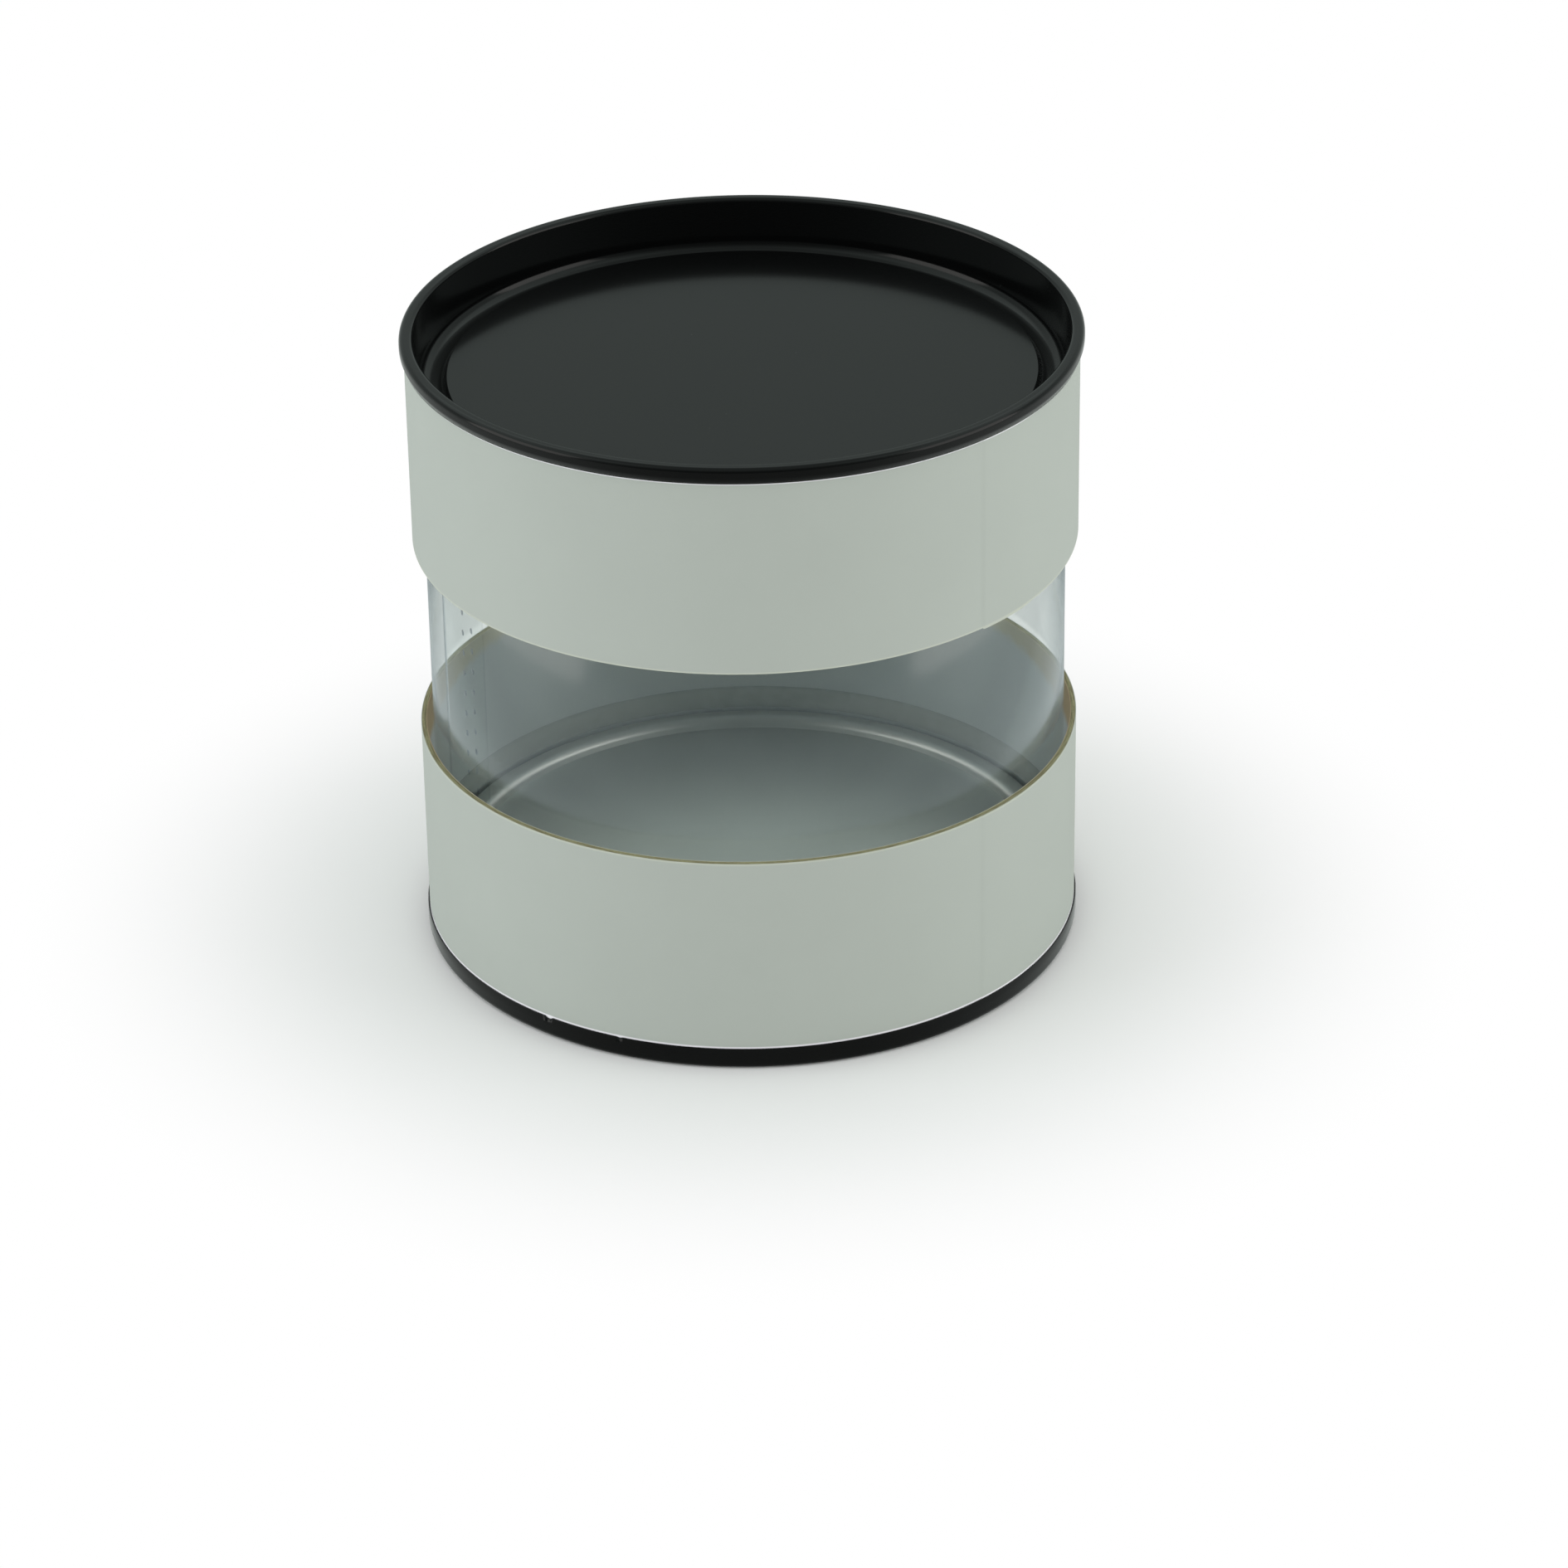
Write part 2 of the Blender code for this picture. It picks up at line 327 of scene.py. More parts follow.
def inner_lacquer():
    """Thin dark lacquer inside the ends, which shows the metal's sheen and faint turning marks."""
    finish = new_finish("inner_lacquer")
    _, radius, _ = finish.polar()
    rings = finish.cloud(feature=0.0006, place=finish.vector(radius, 0, 0))
    shade = finish.cloud(feature=0.02)
    grain = finish.cloud(feature=0.0012)
    bright = colours().inner_lacquer
    return finish.close(finish.principled({
        "Base Color": finish.mixed(shade, darker(bright, 0.85), bright),
        "Metallic": 1.0,
        "Roughness": 0.34 + shade * 0.06 + rings * 0.04,
        "Normal": finish.bump(grain, depth=0.000006, strength=0.3),
    }))


# The painted highlight along a paper edge is full up to the first distance from the edge, and gone at the
# second
EDGE_HIGHLIGHT_FULL = 0.00015
EDGE_HIGHLIGHT_GONE = 0.00035


def pale_paper(name, cut_edge, crimped_edge):
    """Matt paper with a fine fibre, with painted highlights along its cut edge and its edge at the crimp."""
    finish = new_finish(name)
    _, _, height = finish.polar()
    fibre = finish.cloud(feature=0.00035, detail=3.0)
    tone = finish.cloud(feature=0.014)
    paper = colours().paper
    surface = finish.mixed(tone * 0.7 + fibre * 0.3, darker(paper, 0.93), paper)
    # Painted highlights along both edges: a faint creamy one at the cut edge, a full pale one at the crimp
    for edge, pale, share in (
            (cut_edge, colours().cut_edge_highlight, 0.3), (crimped_edge, colours().crimp_edge_highlight, 1)):
        away = (height - edge).maths("ABSOLUTE", height - edge)
        near = finish.step(away, EDGE_HIGHLIGHT_GONE, EDGE_HIGHLIGHT_FULL)
        surface = finish.mixed(near * share, surface, pale)
    return finish.close(finish.principled({
        "Base Color": surface,
        "Roughness": 0.72 + fibre * 0.12,
        "IOR": 1.3,
        "Normal": finish.bump(fibre, depth=0.00002, strength=0.35),
    }))


def rolled_board():
    """Brown board, whose plies show as fine rings on its cut edge."""
    finish = new_finish("rolled_board")
    around, radius, height = finish.polar()
    along_ply = finish.vector(radius, around * 0.002, height * 0.1)
    plies = finish.cloud(feature=0.00011, place=along_ply, detail=1.0)
    fibre = finish.cloud(feature=0.0003, detail=3.0)
    share = finish.step(plies * 0.7 + fibre * 0.3, 0.35, 0.65)
    return finish.close(finish.principled({
        "Base Color": finish.mixed(share, colours().board_ply, colours().board),
        "Roughness": 0.9,
        "IOR": 1.3,
        "Normal": finish.bump(plies + fibre, depth=0.00004, strength=0.5),
    }))


# The lining is rubbed bare up to the first distance from its edge, and whole from the second on.
# That line wavers, and lies deeper at the left and right.
RUB_FULL = 0.0012
RUB_GONE = 0.0036
RUB_WAVER = 0.0015
RUB_DEEPER = 0.0045


def grey_lining(name, edge):
    """Grey paper inside, rubbed along the cut edge at that height, down to the board at the sides."""
    finish = new_finish(name)
    around, _, height = finish.polar()
    fibre = finish.cloud(feature=0.0005, detail=3.0)
    from_edge = (height - edge).maths("ABSOLUTE", height - edge)
    sideways = around.maths("SINE", around) ** 8
    ragged = finish.cloud(feature=0.002) * RUB_WAVER - sideways * RUB_DEEPER
    worn = finish.step(from_edge + ragged, RUB_GONE, RUB_FULL)
    grey = finish.mixed(fibre, darker(colours().lining, 0.9), colours().lining)
    rubbed = finish.mixed(sideways, colours().lining_rubbed, colours().board_bare)
    return finish.close(finish.principled({
        "Base Color": finish.mixed(worn, grey, rubbed),
        "Roughness": 0.7 + fibre * 0.1,
        "IOR": 1.3,
        "Normal": finish.bump(fibre, depth=0.00002, strength=0.3),
    }))


# What a bare face of the film passes when looked at squarely, and how rough its mirror is
FACE_PASSES = 0.96
FILM_ROUGHNESS = 0.16

# At a middling slant a face passes this share of its tint. Slants run from 0 to 1, which is edge on.
SLANT_PASSES = 0.9
SLANT_START = (0.25, 0.42)
SLANT_END = (0.62, 0.52)

# Haze in the film and in its weld spots, as seen squarely, and how much more of it shows edge on
FILM_HAZE_SHARE = 0.02
FILM_HAZE = (0.45, 0.75, 0.95)
WELD_HAZE_SHARE = 0.13
WELD_HAZE = (0.10, 0.12, 0.14)
EDGE_ON_HAZE = 4

# Painted shade: the band of the film that mirrors less, by heights over the base's cut edge
SHADE_BAND_SHARE = 0.8
SHADE_BAND_FULL = 0.0024
SHADE_BAND_GONE = 0.0036

# Heights over the base's cut edge from which the weld spots and the film's outer end come out,
# the height at which they show in full, and the share of the spots that shows below
SPOTS_START = 0.004
OUTER_END_START = 0.002
MARKS_FULL = 0.016
SPOTS_LEAST = 0.2

# Angles over which the covered part of the lap begins, and which tell the film's two ends apart
COVERED_START = 0.003
BETWEEN_ENDS = 0.02
OUTER_END_TINT = (0.74, 0.77, 0.79)
INNER_END_TINT = (0.93, 0.94, 0.94)


def clear_plastic(finish, bare, tint, haze_share, haze_colour):
    """The outer face of clear plastic. Where it is bare it mirrors, and more at a slant."""
    facing = finish.node("ShaderNodeLayerWeight", {}, {"Blend": 0.5}, "Facing")
    passes = FACE_PASSES - FACE_PASSES * facing ** 5
    mirror = (1 - passes * passes) * bare
    slant = finish.step(facing, *SLANT_START) * finish.step(facing, *SLANT_END)
    passed = finish.mixed_shader(
        slant * bare, finish.clear(tint), finish.clear(darker(tint, SLANT_PASSES)))
    gloss = finish.node("ShaderNodeBsdfGlossy", {}, {"Roughness": FILM_ROUGHNESS})
    veil = haze_share * (1 + EDGE_ON_HAZE * facing ** 3)
    haze = finish.principled({"Base Color": (*haze_colour, 1), "Roughness": 0.5})
    dust = finish.specks(pitch=0.004, size=0.00006, share=0.2)
    clear = finish.mixed_shader(mirror, passed, gloss)
    return finish.close(finish.mixed_shader(veil * bare + dust * 0.3, clear, haze))


def clear_film():
    """The sheet's outer face, which stands for both faces where it mirrors.

    Where the sheet's own lap covers it, it only lets light through. Along the base's cut edge it mirrors
    less, a painted shade in place of the shaded gap it faces there.
    """
    s = sizes()
    finish = new_finish("clear_film")
    around, radius, height = finish.polar()
    middle = outer_radius("window_sheet") - s.sheet / 2
    under = finish.step(radius, middle, middle - s.sheet_gap)
    past = finish.step(around, s.sheet_outer_end, s.sheet_outer_end + COVERED_START)
    rim = highest("base_board_tube")
    # Painted shade: the mirror is weakened in a band over the base's cut edge
    shaded = finish.step(height, rim + SHADE_BAND_GONE, rim + SHADE_BAND_FULL)
    bare = (1 - under * past) * (1 - SHADE_BAND_SHARE * shaded)
    return clear_plastic(finish, bare, colours().sheet_tint, FILM_HAZE_SHARE, FILM_HAZE)


def weld_film():
    """The weld spots' finish, which fades towards the base."""
    finish = new_finish("weld_film")
    _, _, height = finish.polar()
    rim = highest("base_board_tube")
    shown = finish.step(height, rim + SPOTS_START, rim + MARKS_FULL)
    bare = SPOTS_LEAST + (1 - SPOTS_LEAST) * shown
    return clear_plastic(finish, bare, colours().weld_tint, WELD_HAZE_SHARE, WELD_HAZE)


def film_back():
    """The film's inner face, which only lets light through."""
    finish = new_finish("film_back")
    return finish.close(finish.clear(colours().sheet_tint))


def film_edge():
    """The film's cut ends: the outer one is darker above the base, and the inner one hardly shows."""
    finish = new_finish("film_edge")
    around, _, height = finish.polar()
    middle, rim = sizes().weld_place, highest("base_board_tube")
    outer_end = finish.step(around, middle + BETWEEN_ENDS, middle - BETWEEN_ENDS)
    out_of_base = finish.step(height, rim + OUTER_END_START, rim + MARKS_FULL)
    return finish.close(finish.mixed_shader(
        outer_end * out_of_base, finish.clear(INNER_END_TINT), finish.clear(OUTER_END_TINT)))


def clear_adhesive():
    """Lumpy clear adhesive, which shows only a little."""
    finish = new_finish("clear_adhesive")
    lumps = finish.cloud(feature=0.0015)
    return finish.close(finish.principled({
        "Base Color": (*colours().adhesive, 1),
        "Roughness": 0.35 + lumps * 0.2,
        "Alpha": 0.15 + lumps * 0.2,
        "Normal": finish.bump(lumps, depth=0.0001, strength=0.5),
    }))


def sealing_compound():
    """Dull grey compound."""
    finish = new_finish("sealing_compound")
    grain = finish.cloud(feature=0.0006)
    return finish.close(finish.principled({
        "Base Color": finish.mixed(grain, darker(colours().compound, 0.85), colours().compound),
        "Roughness": 0.6 + grain * 0.2,
        "Normal": finish.bump(grain, depth=0.00003, strength=0.5),
    }))


class Half(NamedTuple):
    """The base or the lid. Its sections are drawn foot down, from the plane of its seam."""

    body: str
    seam: float
    seam_radius: float
    chuck_inset: float
    panel: float
    inner_fillet: float
    outer_fillet: float
    turned_over: bool

    def height(self, from_seam):
        """Height on the closed box of what lies that far from the plane of the seam."""
        return highest("lid_metal_end") - from_seam if self.turned_over else from_seam

    def cut_edge(self, node):
        """Height of the tube layer's open edge, away from the seam."""
        return lowest(node) if self.turned_over else highest(node)


def both_halves():
    s = sizes()
    return (
        Half("base", s.base_seam, outer_radius("base_metal_end"), s.base_chuck_inset,
             s.base_panel, s.base_inner_fillet, s.base_outer_fillet, False),
        Half("lid", s.lid_seam, outer_radius("lid_metal_end"), s.lid_chuck_inset,
             s.lid_panel, s.lid_inner_fillet, s.lid_outer_fillet, True),
    )


def wire(corners, closed):
    """A line through (radius, height, fillet) corners, rounded at each corner that has a fillet."""
    shape = bmesh.new()
    points = [shape.verts.new((radius, 0, height)) for radius, height, _ in corners]
    for pair in zip(points, points[1:]):
        shape.edges.new(pair)
    if closed:
        shape.edges.new((points[-1], points[0]))
    places = [Vector((radius, height)) for radius, height, _ in corners]
    for index, (point, (_, _, fillet)) in enumerate(zip(points, corners)):
        if not fillet:
            continue
        before = places[index - 1] - places[index]
        after = places[(index + 1) % len(places)] - places[index]
        reach = fillet / math.tan(before.angle(after) / 2)
        steps = CUT_EDGE_STEPS if closed else FILLET_STEPS
        bmesh.ops.bevel(
            shape, geom=[point], affect="VERTICES", offset=reach, offset_type="OFFSET",
            segments=steps, profile=0.5, material=-1, clamp_overlap=False)
    return shape


def spun(corners, closed):
    """Turns a section once round the axis."""
    shape = wire(corners, closed)
    bmesh.ops.spin(
        shape, geom=shape.verts[:] + shape.edges[:], cent=(0, 0, 0), axis=AXIS_UP,
        angle=2 * math.pi, steps=TURN_STEPS, use_merge=True)
    bmesh.ops.remove_doubles(shape, verts=shape.verts, dist=SAME_POINT)
    bmesh.ops.recalc_face_normals(shape, faces=shape.faces)
    return shape


def stand(shape, half):
    """Turns a lid's shape over, and lifts it to the top of the box."""
    if half.turned_over:
        bmesh.ops.rotate(
            shape, verts=shape.verts, cent=(0, 0, 0), matrix=Matrix.Rotation(math.pi, 3, "X"))
        bmesh.ops.translate(shape, verts=shape.verts, vec=(0, 0, half.height(0)))


def front_angle(point):
    """Angle of a point round the axis, from the front towards +X."""
    return math.atan2(point.x, -point.y)


def cut_beside(shape, place, faces=None):
    """Cuts the faces along a half-plane through the axis, at that angle from the front."""
    sideways = Vector((math.cos(place), math.sin(place), 0))
    forward = Vector((math.sin(place), -math.cos(place), 0))
    near = [f for f in faces or shape.faces if f.calc_center_median().dot(forward) > 0]
    parts = {item for face in near for item in (face, *face.edges, *face.verts)}
    bmesh.ops.bisect_plane(
        shape, geom=list(parts), dist=SAME_POINT, plane_co=(0, 0, 0), plane_no=sideways)


def add_piece(name, shape, finishes, body, slot, *nodes):
    """Makes a piece of a finished shape. It rides on the body and stands for the nodes."""
    mesh = bpy.data.meshes.new(name)
    shape.to_mesh(mesh)
    shape.free()
    for finish in finishes:
        mesh.materials.append(finish)
    mesh.shade_smooth()
    mesh.set_sharp_from_angle(angle=SHARP_ANGLE)
    piece = bpy.data.objects.new(name, mesh)
    bpy.context.scene.collection.objects.link(piece)
    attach(piece, body)
    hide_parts(*nodes)
    return piece


def add_wall(piece, thickness, inner_finish, edge_finish=0):
    """Gives an open shape its wall, on the side away from its normals."""
    wall = piece.modifiers.new("wall", "SOLIDIFY")
    wall.thickness = thickness
    wall.offset = -1
    wall.use_even_offset = True
    wall.material_offset = inner_finish
    wall.material_offset_rim = edge_finish


def even_shading(piece):
    """Keeps wide flat faces flat beside small fillets."""
    shading = piece.modifiers.new("even shading", "WEIGHTED_NORMAL")
    shading.keep_sharp = True


class Nick(NamedTuple):
    """A small dent in the edge of the foot's crimp."""

    place: float
    width: float
    depth: float


NICKS = (
    Nick(math.radians(-37.7), 0.0016, 0.00035),
    Nick(math.radians(-23.6), 0.0012, 0.00012),
)

# Where the crimp is cut for a nick, as shares of half its width
NICK_CUT_SHARES = (-1, -0.5, -0.2, 0.2, 0.5, 1)


def dent(shape, nick, bottom, top):
    """Lowers the edge of the crimp at one place, from nothing at its bottom."""
    radius = outer_radius("base_paper_wrap")
    reach = nick.width / radius
    rim = [f for f in shape.faces if f.calc_center_median().xy.length > radius]
    for share in NICK_CUT_SHARES:
        cut_beside(shape, nick.place + share * reach / 2, rim)
        rim = [f for f in shape.faces if f.calc_center_median().xy.length > radius]
    for point in shape.verts:
        away = abs(front_angle(point.co) - nick.place) / (reach / 2)
        if away < 1 and point.co.z > bottom and point.co.xy.length > radius:
            fall = 0.5 + 0.5 * math.cos(math.pi * away)
            point.co.z -= nick.depth * fall * (point.co.z - bottom) / (top - bottom)


# Height of the crimp's widest line, as a share of the crimp's height
BULGE_HEIGHT_SHARE = 0.62


def metal_end(half, finishes):
    """The recessed end: one sheet pressed into rings and curled over the tube's edge."""
    s = sizes()
    tube = outer_radius(f"{half.body}_paper_wrap")
    groove_outer = tube - s.groove_inset
    groove_inner = groove_outer - s.groove_width
    groove_depth = half.panel + s.groove_drop
    bulge = half.seam * BULGE_HEIGHT_SHARE
    shape = spun([
        (0, half.panel, 0),
        (groove_inner - s.panel_step, half.panel, s.panel_fillet),
        (groove_inner, groove_depth, s.groove_inner_fillet),
        (groove_outer, groove_depth, s.groove_outer_fillet),
        (tube - half.chuck_inset, 0, half.inner_fillet),
        (half.seam_radius, 0, half.outer_fillet),
        (half.seam_radius, bulge, s.bulge_fillet),
        (tube + s.ply_gap + s.metal, half.seam, 0),
    ], False)
    if not half.turned_over:
        for nick in NICKS:
            dent(shape, nick, bulge, half.seam)
    stand(shape, half)
    piece = add_piece(
        f"{half.body}_end_pressing", shape, finishes, half.body, "black_metal",
        f"{half.body}_metal_end")
    add_wall(piece, s.metal, inner_finish=1)
    even_shading(piece)


def tube_layer(node):
    """A plain tube with the box of a node's solid, its corners softened."""
    s = sizes()
    outer, bottom, top = outer_radius(node), lowest(node), highest(node)
    inner = outer - layer_thickness(node)
    return spun([
        (outer, top, s.cut_bevel),
        (outer, bottom, s.cut_bevel),
        (inner, bottom, s.cut_bevel),
        (inner, top, s.cut_bevel),
    ], True)


def layer_thickness(node):
    """Wall of a tube's solid, from the inner and outer points of its upper edge."""
    points = [vertex.co.xy.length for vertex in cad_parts[node].data.vertices]
    return max(points) - min(points)


# The cover's lap rises within a short step, falls along a slope, and lies flat near the crimp
LAP_STEP = 0.0001
LAP_SLOPE = 0.003
LAP_FLAT = 0.001


def lap_over(shape, half):
    """Lays the end of the cover over its start: a small step on one side, and a slope on the other."""
    s = sizes()
    radius = outer_radius(f"{half.body}_paper_wrap")
    step, slope, reach = (run / radius for run in (LAP_STEP, LAP_SLOPE, s.lap_width))
    cut_beside(shape, s.lap_place)
    cut_beside(shape, s.lap_place + step)
    crimp = half.height(half.seam)
    for point in shape.verts:
        past = front_angle(point.co) - s.lap_place
        if past < 0 or past > reach + slope or point.co.xy.length < radius - s.cut_bevel * 2:
            continue
        share = min(1, past / step, (reach + slope - past) / slope)
        clear = min(1, abs(point.co.z - crimp) / LAP_FLAT)
        outward = Vector((point.co.x, point.co.y, 0)).normalized()
        point.co += outward * s.lap_rise * share * clear
        if half.turned_over and point.co.z < lowest("lid_paper_wrap") + s.cut_bevel * 2:
            point.co.z -= s.lap_drop * share


def rolled_window():
    """The clear sheet: from its inner end it runs once round, drawn out over its own start."""
    s = sizes()
    outer = outer_radius("window_sheet")
    inner = outer - s.sheet - s.sheet_gap
    bottom, top = lowest("window_sheet"), highest("window_sheet")
    shape = bmesh.new()
    start = Vector((math.sin(s.sheet_inner_end), -math.cos(s.sheet_inner_end), 0)) * inner
    ends = [shape.verts.new((start.x, start.y, height)) for height in (bottom, top)]
    line = [*ends, shape.edges.new(ends)]
    step = 2 * math.pi / TURN_STEPS
    lap = s.sheet_inner_end - s.sheet_outer_end + step

    def sweep(line, amount):
        count = max(1, round(amount / step))
        made = bmesh.ops.spin(
            shape, geom=line, cent=(0, 0, 0), axis=AXIS_UP, angle=-amount, steps=count)
        return made["geom_last"]

    line = sweep(line, lap)
    radius = inner
    for index in range(DRAW_STEPS):
        line = sweep(line, step)
        share = (index + 1) / DRAW_STEPS
        wanted = inner + (outer - inner) * share * share * (3 - 2 * share)
        points = [item for item in line if isinstance(item, bmesh.types.BMVert)]
        bmesh.ops.scale(shape, vec=(wanted / radius, wanted / radius, 1), verts=points)
        radius = wanted
    sweep(line, 2 * math.pi - step * (DRAW_STEPS + 1))
    bmesh.ops.remove_doubles(shape, verts=shape.verts, dist=SAME_POINT)
    bmesh.ops.recalc_face_normals(shape, faces=shape.faces)
    return shape


# Rows of weld spots, counted from the base's cut edge. The left column lies this share of a row lower.
WELD_ROWS = range(-7, 17)
LEFT_COLUMN_SHARE = 0.4


def weld_spots():
    """Two columns of small lens-shaped spots up the lap."""
    s = sizes()
    outer = outer_radius("window_sheet")
    bottom, top = lowest("window_sheet"), highest("window_sheet")
    size = Matrix.Diagonal((s.weld_width / 2, s.weld_rise, s.weld_height / 2, 1))
    shape = bmesh.new()
    for side, drop in ((-1, LEFT_COLUMN_SHARE), (1, 0)):
        turn = Matrix.Rotation(s.weld_place + side * s.weld_spread / outer / 2, 4, "Z")
        for row in WELD_ROWS:
            height = highest("base_board_tube") + (row - drop) * s.weld_pitch
            if not bottom + s.weld_height < height < top - s.weld_height:
                continue
            move = Matrix.Translation((0, -outer, height))
            bmesh.ops.create_uvsphere(
                shape, u_segments=SPOT_SEGMENTS, v_segments=SPOT_RINGS, radius=1,
                matrix=turn @ move @ size)
    return shape


class Fibres(NamedTuple):
    """Fibres of one kind: how many, between which angles from the front, and the longest one."""

    count: int
    first_degrees: float
    last_degrees: float
    longest: float


FIBRE_KINDS = (Fibres(14, -31, -26.5, 0.0008), Fibres(20, -180, 180, 0.0004))
SHORTEST_FIBRE = 0.0003
FIBRE_RADII = (0.00001, 0.00002)
FIBRE_LEAN = 1.3

# Where fibres start, inwards from the board's outside and under its cut edge, and how deep they go
FIBRE_INSETS = (0.0001, 0.0005)
FIBRE_ROOT = 0.00004
FIBRE_LOWEST = 0.00005


def rim_fibres():
    """Torn board fibres all round the base's cut edge, with a tuft of longer ones at the front left."""
    draw = random.Random(5)
    radius = outer_radius("base_board_tube")
    top = highest("base_board_tube")
    shape = bmesh.new()
    for kind in FIBRE_KINDS:
        for _ in range(kind.count):
            place = math.radians(draw.uniform(kind.first_degrees, kind.last_degrees))
            reach = draw.uniform(SHORTEST_FIBRE, kind.longest)
            thick = draw.uniform(*FIBRE_RADII)
            root = Matrix.Rotation(place, 4, "Z") @ Matrix.Translation(
                (0, -radius + draw.uniform(*FIBRE_INSETS), top - FIBRE_ROOT))
            lean = Matrix.Rotation(draw.uniform(-FIBRE_LEAN, FIBRE_LEAN), 4, "X") @ Matrix.Rotation(
                draw.uniform(-FIBRE_LEAN, FIBRE_LEAN), 4, "Y")
            made = bmesh.ops.create_cone(
                shape, cap_ends=True, segments=FIBRE_SIDES, radius1=thick, radius2=thick / 3,
                depth=reach, matrix=root @ lean @ Matrix.Translation((0, 0, reach / 2)))
            for point in made["verts"]:
                point.co.z = max(point.co.z, top - FIBRE_LOWEST)
    return shape


# How many faces of the clear sheet a path of light may pass
CLEAR_FACES = 32

# The photograph's camera, fitted to the box's edges
IMAGE_SIDE = 1890
SENSOR_WIDTH = 36.0
LENS = 131.02
EYE_DISTANCE = 0.86688
EYE_ELEVATION = math.radians(26.67)
EYE_ROLL = math.radians(-1.048)
AIM_HEIGHT = 0.047
AIM_PIXEL = (900.8, 762.84)


def add_camera():
    """Stands the camera where the photograph's stood, with the aim point on its own pixel."""
    data = bpy.data.cameras.new("camera")
    data.lens = LENS
    data.sensor_width = SENSOR_WIDTH
    camera = bpy.data.objects.new("camera", data)
    bpy.context.scene.collection.objects.link(camera)
    aim = Vector((0, 0, AIM_HEIGHT))
    back = Vector((0, -math.cos(EYE_ELEVATION), math.sin(EYE_ELEVATION)))
    focal = LENS / SENSOR_WIDTH * IMAGE_SIDE
    across, down = (pixel - IMAGE_SIDE / 2 for pixel in AIM_PIXEL)
    ray = Vector((across / focal, -down / focal, -1))
    look = (-back).to_track_quat("-Z", "Y")
    camera.rotation_mode = "QUATERNION"
    camera.location = aim + back * EYE_DISTANCE
    camera.rotation_quaternion = (
        look @ Quaternion(AXIS_UP, EYE_ROLL) @ ray.rotation_difference(Vector((0, 0, -1))))
    bpy.context.scene.camera = camera


class Softbox(NamedTuple):
    """A square area lamp that faces the box."""

    name: str
    place: tuple
    side: float
    power: float
    colour: tuple


SOFTBOXES = (
    Softbox("left_softbox", (-1.25, -0.30, 0.42), 1.0, 6.6, (0.98, 1.0, 1.04)),
    Softbox("right_softbox", (1.25, -0.30, 0.42), 1.0, 6.2, (1.0, 1.0, 0.99)),
)


def add_softbox(box):
    data = bpy.data.lights.new(box.name, "AREA")
    data.size = box.side
    data.energy = box.power
    data.color = box.colour
    lamp = bpy.data.objects.new(box.name, data)
    lamp.location = box.place
    lamp.rotation_mode = "QUATERNION"
    toward = Vector((0, 0, AIM_HEIGHT)) - lamp.location
    lamp.rotation_quaternion = toward.to_track_quat("-Z", "Y")
    lamp.visible_glossy = False
    bpy.context.scene.collection.objects.link(lamp)


FLOOR_RADIUS = 4.0
FLOOR_COLOUR = seen(231, 233, 232)
WHITE = (1, 1, 1)

# Distances from the axis between which the floor turns white for the camera
FLOOR_GREY_END = 0.052
FLOOR_WHITE_START = 0.115

# In reflections the floor turns from dark to pale between these angles from the front
FLOOR_DARK_END = math.radians(15)
FLOOR_PALE_START = math.radians(80)
FLOOR_DARK = (0.19, 0.20, 0.19)
FLOOR_PALE = (0.53, 0.57, 0.55)


def floor_finish():
    """A pale matt floor that turns white away from the box, where nothing clear is in front of it.

    In reflections it is dark in front of the box and pale beside and behind it, as the room is.
    """
    finish = new_finish("floor")
    around, radius, _ = finish.polar()
    near = finish.principled({"Base Color": (*FLOOR_COLOUR, 1), "Roughness": 0.85})
    far = finish.step(radius, FLOOR_GREY_END, FLOOR_WHITE_START)
    shown = finish.mixed_shader(far * finish.direct_view(), near, finish.glow(WHITE))
    aside = finish.step(around.maths("ABSOLUTE", around), FLOOR_DARK_END, FLOOR_PALE_START)
    mirrored = finish.mixed_shader(aside, finish.glow(FLOOR_DARK), finish.glow(FLOOR_PALE))
    return finish.close(finish.mixed_shader(finish.reflection(), shown, mirrored))


def add_floor():
    shape = bmesh.new()
    bmesh.ops.create_circle(shape, cap_ends=True, segments=FLOOR_SIDES, radius=FLOOR_RADIUS)
    mesh = bpy.data.meshes.new("floor")
    shape.to_mesh(mesh)
    shape.free()
    mesh.materials.append(floor_finish())
    floor = bpy.data.objects.new("floor", mesh)
    bpy.context.scene.collection.objects.link(floor)


# The room in reflections: dark in front, paler behind, and brightest in a high band behind.
# Its limits, and those below, are parts of a unit direction whose Y points away from the front.
ROOM_DARK = (0.05, 0.055, 0.052)
ROOM_PALE = (0.68, 0.78, 0.745)
ROOM_BEHIND = (-1.1, -0.1)
BAND_SHARE = 0.54
BAND_BOTTOM = (0.45, 0.58)
BAND_TOP = (0.95, 0.80)

# What the far side of the clear sheet mirrors at the left and right, through its near side
LIT_SIDES = (1.4, 1.4, 1.35)
SIDES_REACH = (0.55, 0.85)

# The even light on matt surfaces, a little weaker from the front
LIGHT_FRONT = (0.90, 0.89, 0.88)
LIGHT_REST = (0.95, 0.96, 0.95)
LIGHT_FRONT_END = (-0.75, -0.15)


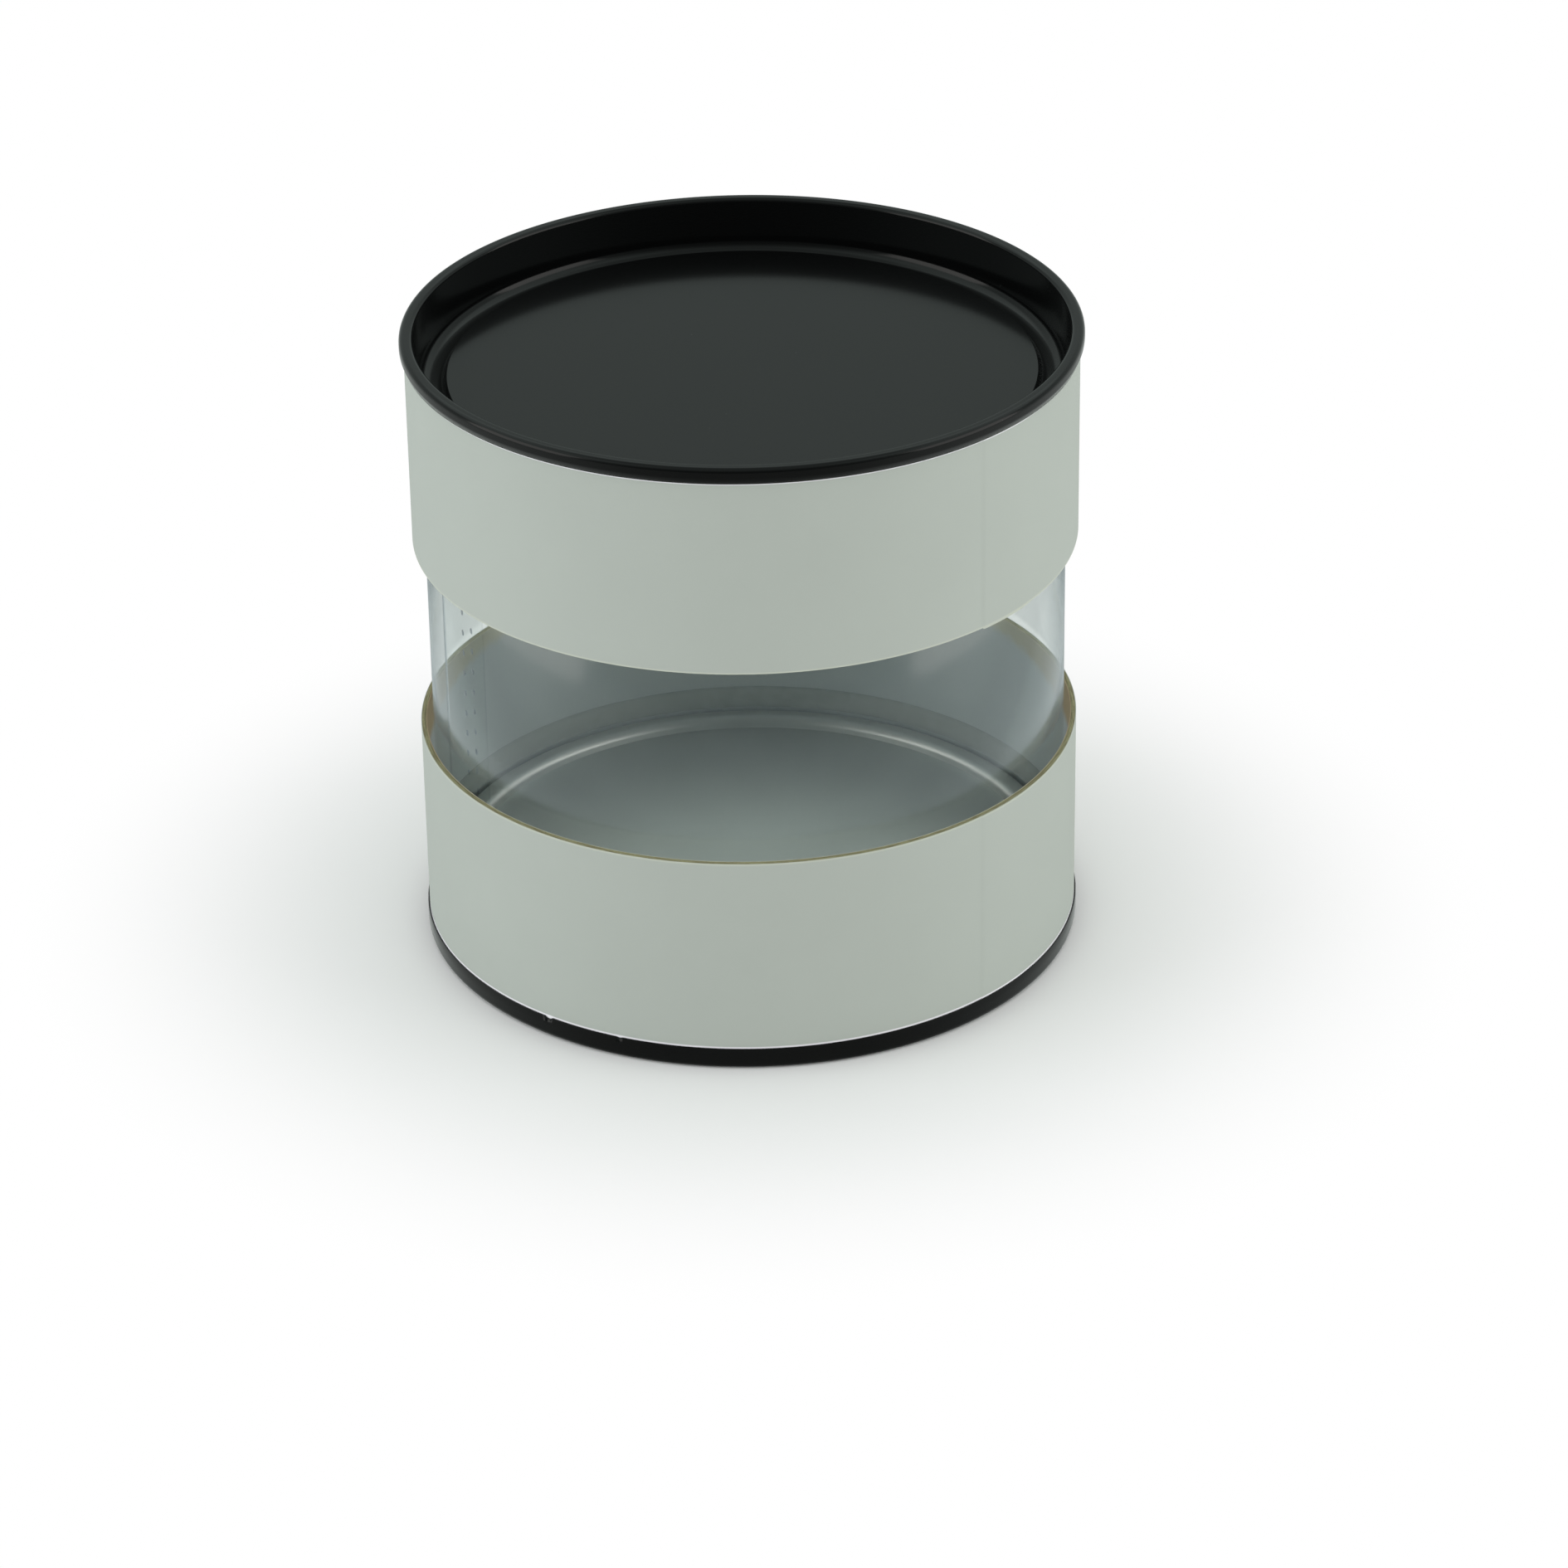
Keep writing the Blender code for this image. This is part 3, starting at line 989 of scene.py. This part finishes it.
def add_surroundings():
    """White for the camera. In reflections the room is pale behind and beside the box, and dark in front."""
    finish = Finish(bpy.data.worlds.new("surroundings"))
    direction = finish.node("ShaderNodeTexCoord", {}, {}, "Generated")
    side = finish.node("ShaderNodeSeparateXYZ", {}, {"Vector": direction})
    depth, height = side.part("Y"), side.part("Z")
    behind = finish.step(depth, *ROOM_BEHIND)
    band = finish.step(height, *BAND_BOTTOM) * finish.step(height, *BAND_TOP)
    share = behind * (1 - BAND_SHARE + BAND_SHARE * band * behind)
    room = finish.mixed(share, ROOM_DARK, ROOM_PALE)
    path = finish.node("ShaderNodeLightPath", {}, {}, "Transparent Depth")
    inside = path.maths("GREATER_THAN", path, 0.5) * path.maths(
        "LESS_THAN", path.part("Glossy Depth"), 1.5)
    beside = finish.step(side.maths("ABSOLUTE", side), *SIDES_REACH)
    mirrored = finish.mixed(inside * beside, room, LIT_SIDES)
    even = finish.mixed(finish.step(depth, *LIGHT_FRONT_END), LIGHT_FRONT, LIGHT_REST)
    lit = finish.mixed(finish.reflection(), even, mirrored)
    shown = finish.mixed(finish.direct_view(), lit, WHITE)
    sky = finish.node("ShaderNodeBackground", {}, {"Color": shown})
    bpy.context.scene.world = finish.close(sky, "ShaderNodeOutputWorld")


class TUBE_BOX_OT_metal_ends(bpy.types.Operator):
    """Press the recessed metal ends of the base and the lid"""

    bl_idname = "tube_box.metal_ends"
    bl_label = "Metal Ends"

    def execute(self, context):
        finishes = [black_lacquer(), inner_lacquer()]
        for half in both_halves():
            metal_end(half, finishes)
        return {"FINISHED"}


class TUBE_BOX_OT_paper_covers(bpy.types.Operator):
    """Wrap the base and the lid in pale paper"""

    bl_idname = "tube_box.paper_covers"
    bl_label = "Paper Covers"

    def execute(self, context):
        for half in both_halves():
            node = f"{half.body}_paper_wrap"
            name = f"{half.body}_paper_cover"
            shape = tube_layer(node)
            lap_over(shape, half)
            finish = pale_paper(name, half.cut_edge(node), half.height(half.seam))
            even_shading(add_piece(name, shape, [finish], half.body, "pale_paper", node))
        return {"FINISHED"}


class TUBE_BOX_OT_board_walls(bpy.types.Operator):
    """Roll the board walls of the base and the lid"""

    bl_idname = "tube_box.board_walls"
    bl_label = "Board Walls"

    def execute(self, context):
        finish = rolled_board()
        for half in both_halves():
            node = f"{half.body}_board_tube"
            even_shading(add_piece(
                f"{half.body}_board_wall", tube_layer(node), [finish], half.body, "brown_board", node))
        return {"FINISHED"}


class TUBE_BOX_OT_linings(bpy.types.Operator):
    """Line the base and the lid with grey paper"""

    bl_idname = "tube_box.linings"
    bl_label = "Linings"

    def execute(self, context):
        for half in both_halves():
            node = f"{half.body}_paper_liner"
            name = f"{half.body}_paper_lining"
            finish = grey_lining(name, half.cut_edge(node))
            even_shading(add_piece(name, tube_layer(node), [finish], half.body, "grey_paper", node))
        return {"FINISHED"}


class TUBE_BOX_OT_window(bpy.types.Operator):
    """Roll the clear sheet and weld its lap"""

    bl_idname = "tube_box.window"
    bl_label = "Window"

    def execute(self, context):
        sheet = add_piece(
            "rolled_window", rolled_window(), [clear_film(), film_back(), film_edge()], "base",
            "clear_sheet", "window_sheet")
        add_wall(sheet, sizes().sheet, inner_finish=1, edge_finish=2)
        add_piece("window_welds", weld_spots(), [weld_film()], "base", "clear_sheet")
        return {"FINISHED"}


class TUBE_BOX_OT_fillings(bpy.types.Operator):
    """Lay the sealing compound in both seams and the adhesive round the sheet's foot"""

    bl_idname = "tube_box.fillings"
    bl_label = "Compound and Adhesive"

    def execute(self, context):
        compound = sealing_compound()
        for half in both_halves():
            node = f"{half.body}_sealing_ring"
            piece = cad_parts[node]
            piece.data.materials.clear()
            piece.data.materials.append(compound)
        add_piece(
            "adhesive_ring", tube_layer("window_glue_band"), [clear_adhesive()], "base",
            "clear_adhesive", "window_glue_band")
        return {"FINISHED"}


class TUBE_BOX_OT_rim_fibres(bpy.types.Operator):
    """Fray the cut edge of the base's board"""

    bl_idname = "tube_box.rim_fibres"
    bl_label = "Rim Fibres"

    def execute(self, context):
        add_piece("rim_fibres", rim_fibres(), [rolled_board()], "base", "brown_board")
        return {"FINISHED"}


class TUBE_BOX_OT_stage(bpy.types.Operator):
    """Set up the floor, the lamps, the surroundings and the camera"""

    bl_idname = "tube_box.stage"
    bl_label = "Stage"

    def execute(self, context):
        add_floor()
        for box in SOFTBOXES:
            add_softbox(box)
        add_surroundings()
        add_camera()
        context.scene.view_settings.view_transform = "Standard"
        context.scene.cycles.transparent_max_bounces = CLEAR_FACES
        return {"FINISHED"}


class TUBE_BOX_PT_panel(bpy.types.Panel):
    """Lists the steps that dress the tube box"""

    bl_label = "Tube Box"
    bl_idname = "TUBE_BOX_PT_panel"
    bl_space_type = "VIEW_3D"
    bl_region_type = "UI"
    bl_category = "Tube Box"

    def draw(self, context):
        for step in STEPS:
            self.layout.operator(step.bl_idname)
        for group in (context.scene.tube_box_sizes, context.scene.tube_box_colours):
            for name in group.__annotations__:
                self.layout.prop(group, name)


STEPS = (
    TUBE_BOX_OT_metal_ends,
    TUBE_BOX_OT_paper_covers,
    TUBE_BOX_OT_board_walls,
    TUBE_BOX_OT_linings,
    TUBE_BOX_OT_window,
    TUBE_BOX_OT_fillings,
    TUBE_BOX_OT_rim_fibres,
    TUBE_BOX_OT_stage,
)
CLASSES = (TubeBoxSizes, TubeBoxColours, *STEPS, TUBE_BOX_PT_panel)


def register():
    for item in CLASSES:
        bpy.utils.register_class(item)
    bpy.types.Scene.tube_box_sizes = bpy.props.PointerProperty(type=TubeBoxSizes)
    bpy.types.Scene.tube_box_colours = bpy.props.PointerProperty(type=TubeBoxColours)


def unregister():
    del bpy.types.Scene.tube_box_colours
    del bpy.types.Scene.tube_box_sizes
    for item in reversed(CLASSES):
        bpy.utils.unregister_class(item)


def main():
    register()
    bpy.ops.tube_box.metal_ends()
    bpy.ops.tube_box.paper_covers()
    bpy.ops.tube_box.board_walls()
    bpy.ops.tube_box.linings()
    bpy.ops.tube_box.window()
    bpy.ops.tube_box.fillings()
    bpy.ops.tube_box.rim_fibres()
    bpy.ops.tube_box.stage()


if __name__ == "__main__":
    main()
